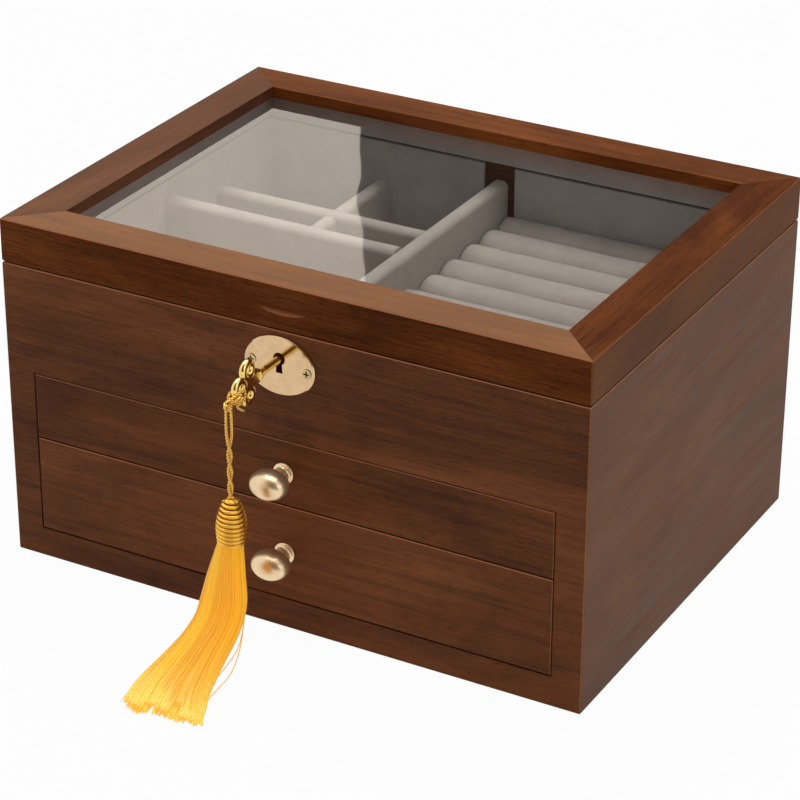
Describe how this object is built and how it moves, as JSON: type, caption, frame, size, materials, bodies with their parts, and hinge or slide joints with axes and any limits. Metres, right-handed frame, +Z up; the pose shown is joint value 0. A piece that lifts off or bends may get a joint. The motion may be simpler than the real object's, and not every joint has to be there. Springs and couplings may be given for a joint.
{
  "type": "jewelry box",
  "caption": "Wooden jewelry box: glazed hinged lid over a velvet-lined tray with a ring cushion, drawers with oval knobs, and a brass lock whose key carries a gold tassel.",
  "frame": {"origin": "centre of the case's underside, on the surface it stands on", "axes": "+X to the right seen from the front, +Y to the back, +Z up; the drawers face -Y"},
  "size_m": [0.33, 0.3535, 0.19],
  "materials": {
    "case_wood": "satin lacquered walnut",
    "lid_wood": "satin lacquered walnut",
    "drawer_wood": "plain board",
    "velvet": "short pile",
    "felt": "felt",
    "window_glass": "clear",
    "plate_brass": "brushed",
    "key_gold": "polished",
    "knob_metal": "satin champagne",
    "screw_steel": "plated",
    "gold_cord": "twisted",
    "gold_wire": "metallic thread",
    "gold_threads": "silky threads"
  },
  "bodies": {
    "case": {"front_frame": "case_wood", "left_side": "case_wood", "right_side": "case_wood", "back_panel": "case_wood", "base_felt": "felt", "bottom_board": "drawer_wood", "drawer_runners": "drawer_wood", "tray_floor": "drawer_wood", "floor_lining": "velvet", "side_linings": "velvet", "front_lining": "velvet", "back_lining_left": "velvet", "back_lining_right": "velvet", "long_divider": "velvet", "tall_cross_divider": "velvet", "low_cross_divider": "velvet", "rear_short_divider": "velvet", "front_short_divider": "velvet", "right_divider": "velvet", "ring_cushion": "velvet", "escutcheon": "plate_brass", "escutcheon_screws": "screw_steel", "lock_case": "plate_brass", "lock_screws": "screw_steel", "hinge_case_leaves": "plate_brass", "hinge_case_screws": "screw_steel", "hinge_pins": "plate_brass"},
    "lid": {"lid_front_rail": "lid_wood", "lid_back_rail": "lid_wood", "lid_left_rail": "lid_wood", "lid_right_rail": "lid_wood", "glass_pane": "window_glass", "lid_lining": "velvet", "hinge_lid_leaves": "plate_brass", "hinge_lid_screws": "screw_steel", "link_plate": "plate_brass", "link_plate_screws": "screw_steel"},
    "upper_drawer": {"upper_drawer_front": "case_wood", "upper_drawer_left_side": "drawer_wood", "upper_drawer_right_side": "drawer_wood", "upper_drawer_back": "drawer_wood", "upper_drawer_bottom": "drawer_wood", "upper_drawer_lining": "velvet", "upper_knob": "knob_metal", "upper_knob_screw": "screw_steel"},
    "lower_drawer": {"lower_drawer_front": "case_wood", "lower_drawer_left_side": "drawer_wood", "lower_drawer_right_side": "drawer_wood", "lower_drawer_back": "drawer_wood", "lower_drawer_bottom": "drawer_wood", "lower_drawer_lining": "velvet", "lower_knob": "knob_metal", "lower_knob_screw": "screw_steel"},
    "key": {"key": "key_gold", "cord_loop": "gold_cord"},
    "lock_bolt": {"lock_bolt": "plate_brass"},
    "cord_fold": {"cord_fold": "gold_cord"},
    "tassel": {"tassel_cord": "gold_cord", "tassel_winding": "gold_wire", "tassel_skirt": "gold_threads"}
  },
  "joints": [
    {"name": "lid_hinge", "type": "hinge", "parent": "case", "child": "lid", "pos_m": [0, 0.1263, 0.1664], "axis": [-1, 0, 0], "range_deg": [0, 95]},
    {"name": "upper_drawer_slide", "type": "slide", "parent": "case", "child": "upper_drawer", "axis": [0, -1, 0], "range_m": [0, 0.125]},
    {"name": "lower_drawer_slide", "type": "slide", "parent": "case", "child": "lower_drawer", "axis": [0, -1, 0], "range_m": [0, 0.125], "deforming": ["tassel_skirt"]},
    {"name": "key_turn", "type": "hinge", "parent": "case", "child": "key", "pos_m": [-0.0008, -0.124, 0.1518], "axis": [0, -1, 0], "range_deg": [0, 90]},
    {"name": "bolt_slide", "type": "slide", "parent": "case", "child": "lock_bolt", "axis": [1, 0, 0], "range_m": [0, 0.004]},
    {"name": "tassel_hang", "type": "hinge", "parent": "key", "child": "cord_fold", "pos_m": [-0.0028, -0.16849, 0.1448], "axis": [0, 1, 0], "range_deg": [0, 90]},
    {"name": "tassel_swing", "type": "hinge", "parent": "cord_fold", "child": "tassel", "pos_m": [-0.0028, -0.16849, 0.1448], "axis": [-1, 0, 0], "range_deg": [0, 90]}
  ],
  "couplings": [
    {"joint": "bolt_slide", "follows": "key_turn", "m_per_rad": 0.0025462},
    {"joint": "tassel_hang", "follows": "key_turn", "ratio": 1},
    {"joint": "tassel_swing", "follows": "upper_drawer_slide", "rad_per_m": 12.565}
  ]
}
